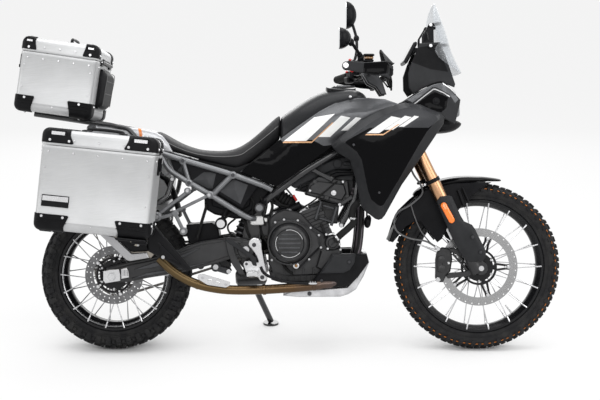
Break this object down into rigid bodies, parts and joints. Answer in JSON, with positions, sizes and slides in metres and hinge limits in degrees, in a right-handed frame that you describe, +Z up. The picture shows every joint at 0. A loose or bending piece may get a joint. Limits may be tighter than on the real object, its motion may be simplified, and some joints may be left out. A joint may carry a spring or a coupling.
{
  "type": "adventure motorcycle",
  "caption": "Mid-size adventure motorcycle with wire-spoked wheels, tall screen, aluminium side boxes and top box, leaning on its side stand.",
  "frame": {"origin": "on the ground under the middle of the parked machine's bounding box", "axes": "+X forward along the wheels' line, +Y to the rider's left, +Z up"},
  "size_m": [2.2411, 1.0403, 1.4282],
  "materials": {
    "bare_aluminium": "brushed",
    "black_plastic": "moulded black",
    "box_aluminium": "anodised",
    "chain_steel": "oiled",
    "dash_gloss": "gloss black",
    "disc_steel": "ground",
    "engine_black": "satin black casting",
    "exhaust_steel": "heat tinted",
    "fork_gold": "gold anodised",
    "frame_black": "satin black powder coat",
    "frame_grey": "satin mid grey",
    "grey_plastic": "moulded dark grey",
    "hose_rubber": "matt",
    "lamp_clear": "clear lens",
    "panel_silver": "silver grey",
    "rim_black": "satin black",
    "screen_clear": "clear acrylic",
    "seat_vinyl": "grained black vinyl",
    "shock_steel": "satin",
    "shroud_black": "gloss black",
    "tank_graphite": "satin graphite",
    "tyre_rubber": "matt"
  },
  "bodies": {
    "chassis": {"main_frame": "frame_black", "subframe": "frame_grey", "seat_rail_panels": "black_plastic", "engine": "engine_black", "radiator": "black_plastic", "airbox": "grey_plastic", "skid_plate": "bare_aluminium", "exhaust_pipe": "exhaust_steel", "silencer": "exhaust_steel", "exhaust_guards": "black_plastic", "swingarm": "frame_black", "rear_shock": "shock_steel", "chain": "chain_steel", "rear_caliper": "engine_black", "fuel_tank": "tank_graphite", "side_panel_right": "panel_silver", "side_panel_left": "panel_silver", "shroud_right": "shroud_black", "shroud_left": "shroud_black", "seat": "seat_vinyl", "tail_cover": "panel_silver", "nose_cowl": "grey_plastic", "headlamp": "lamp_clear", "beak": "shroud_black", "nose_stay": "frame_black", "cockpit": "grey_plastic", "dash": "dash_gloss", "windscreen": "screen_clear", "footpeg_brackets": "bare_aluminium", "passenger_brackets": "frame_grey", "stand_mount": "frame_black", "top_rack": "frame_black", "pannier_racks": "frame_black", "plate_holder": "black_plastic", "rear_mudguard": "black_plastic", "pannier_right": "box_aluminium", "pannier_left": "box_aluminium", "top_box": "box_aluminium", "backrest_pad": "seat_vinyl"},
    "steering": {"fork": "fork_gold", "fork_guards": "black_plastic", "front_fender": "shroud_black", "front_caliper": "engine_black", "handlebar": "frame_black", "handguards": "black_plastic", "levers": "bare_aluminium", "mirrors": "black_plastic", "front_brake_hose": "hose_rubber"},
    "front_wheel": {"front_tyre": "tyre_rubber", "front_wheel_rim": "rim_black", "front_brake_disc": "disc_steel"},
    "rear_wheel": {"rear_tyre": "tyre_rubber", "rear_wheel_rim": "rim_black", "rear_brake_disc": "disc_steel", "rear_sprocket": "chain_steel"},
    "side_stand": {"side_stand": "frame_black"},
    "lid_right": {"pannier_right_lid": "box_aluminium"},
    "lid_left": {"pannier_left_lid": "box_aluminium"},
    "lid_top": {"top_box_lid": "box_aluminium"}
  },
  "joints": [
    {"name": "steering", "type": "hinge", "parent": "chassis", "child": "steering", "pos_m": [0.42443, 0.01608, 0.92171], "axis": [-0.4384, 0.1638, 0.8837], "range_deg": [-38, 38]},
    {"name": "front_wheel_spin", "type": "hinge", "parent": "steering", "child": "front_wheel", "pos_m": [0.7657, -0.09135, 0.34205], "axis": [0, 0.9833, -0.1822], "continuous": true},
    {"name": "rear_wheel_spin", "type": "hinge", "parent": "chassis", "child": "rear_wheel", "pos_m": [-0.7393, -0.0971, 0.31106], "axis": [0, 0.9833, -0.1822], "continuous": true},
    {"name": "side_stand_fold", "type": "hinge", "parent": "chassis", "child": "side_stand", "pos_m": [-0.1793, 0.0604, 0.22797], "axis": [0.066, 0.908, 0.4139], "range_deg": [0, 100]},
    {"name": "pannier_right_lid_hinge", "type": "hinge", "parent": "chassis", "child": "lid_right", "pos_m": [-0.74016, -0.23089, 0.85896], "axis": [-0.9949, 0.0184, 0.0994], "range_deg": [0, 70]},
    {"name": "pannier_left_lid_hinge", "type": "hinge", "parent": "chassis", "child": "lid_left", "pos_m": [-0.74016, 0.22416, 0.77462], "axis": [0.9949, -0.0184, -0.0994], "range_deg": [0, 70]},
    {"name": "top_box_lid_hinge", "type": "hinge", "parent": "chassis", "child": "lid_top", "pos_m": [-0.78267, 0.06195, 1.16919], "axis": [0, 0.9833, -0.1822], "range_deg": [0, 85]}
  ]
}
